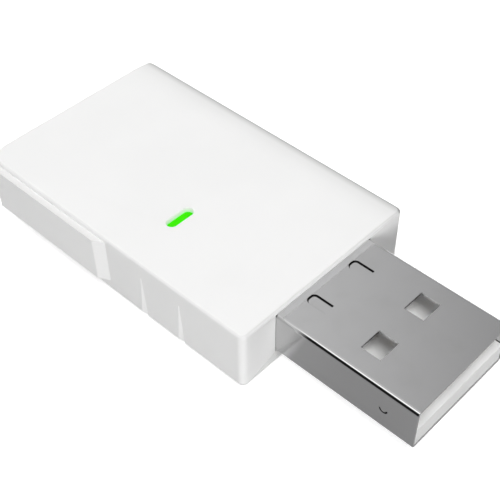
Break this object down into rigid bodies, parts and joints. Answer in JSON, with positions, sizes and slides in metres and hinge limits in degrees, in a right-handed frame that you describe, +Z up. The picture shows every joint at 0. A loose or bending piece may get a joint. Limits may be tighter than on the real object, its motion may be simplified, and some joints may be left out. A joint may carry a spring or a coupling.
{
  "type": "usb bluetooth gateway",
  "caption": "Flat white radio gateway on a Type-A plug, with a raised grip pad, tapered side grooves and a lamp slot; its circuit board is inside.",
  "frame": {"origin": "on the plug's centre line, in the plane of the case's front face, where a port's face comes to rest", "axes": "+X along the plug towards its tip, +Y across the plug away from the grip pad, +Z up through the face with the lamp slot"},
  "size_m": [0.0463, 0.021, 0.0064],
  "materials": {
    "case_plastic": "fine satin",
    "cover_plastic": "fine satin",
    "guide_plastic": "clear, lit green",
    "plug_steel": "nickel plated, bright",
    "insulator_plastic": "satin",
    "contact_gold": "gold plated",
    "board_laminate": "green solder mask",
    "can_steel": "tinned",
    "chip_epoxy": "moulded",
    "crystal_metal": "satin",
    "lamp_resin": "clear",
    "resistor_ceramic": "glazed",
    "capacitor_ceramic": "fired",
    "inductor_ferrite": "ground",
    "antenna_copper": "under solder mask"
  },
  "bodies": {
    "root": {"upper_case": "case_plastic", "bottom_cover": "cover_plastic", "light_guide": "guide_plastic", "plug_shell": "plug_steel", "plug_insulator": "insulator_plastic", "contact_power": "contact_gold", "contact_data_minus": "contact_gold", "contact_data_plus": "contact_gold", "contact_ground": "contact_gold", "circuit_board": "board_laminate", "shield_can": "can_steel", "radio_chip": "chip_epoxy", "flash_memory": "chip_epoxy", "crystal": "crystal_metal", "voltage_regulator": "chip_epoxy", "surge_protector": "chip_epoxy", "power_inductor": "inductor_ferrite", "status_lamp": "lamp_resin", "lamp_resistor": "resistor_ceramic", "printed_antenna": "antenna_copper", "capacitor_1": "capacitor_ceramic", "capacitor_2": "capacitor_ceramic", "capacitor_3": "capacitor_ceramic", "capacitor_4": "capacitor_ceramic", "capacitor_5": "capacitor_ceramic", "capacitor_6": "capacitor_ceramic", "capacitor_7": "capacitor_ceramic", "capacitor_8": "capacitor_ceramic"}
  },
  "joints": []
}
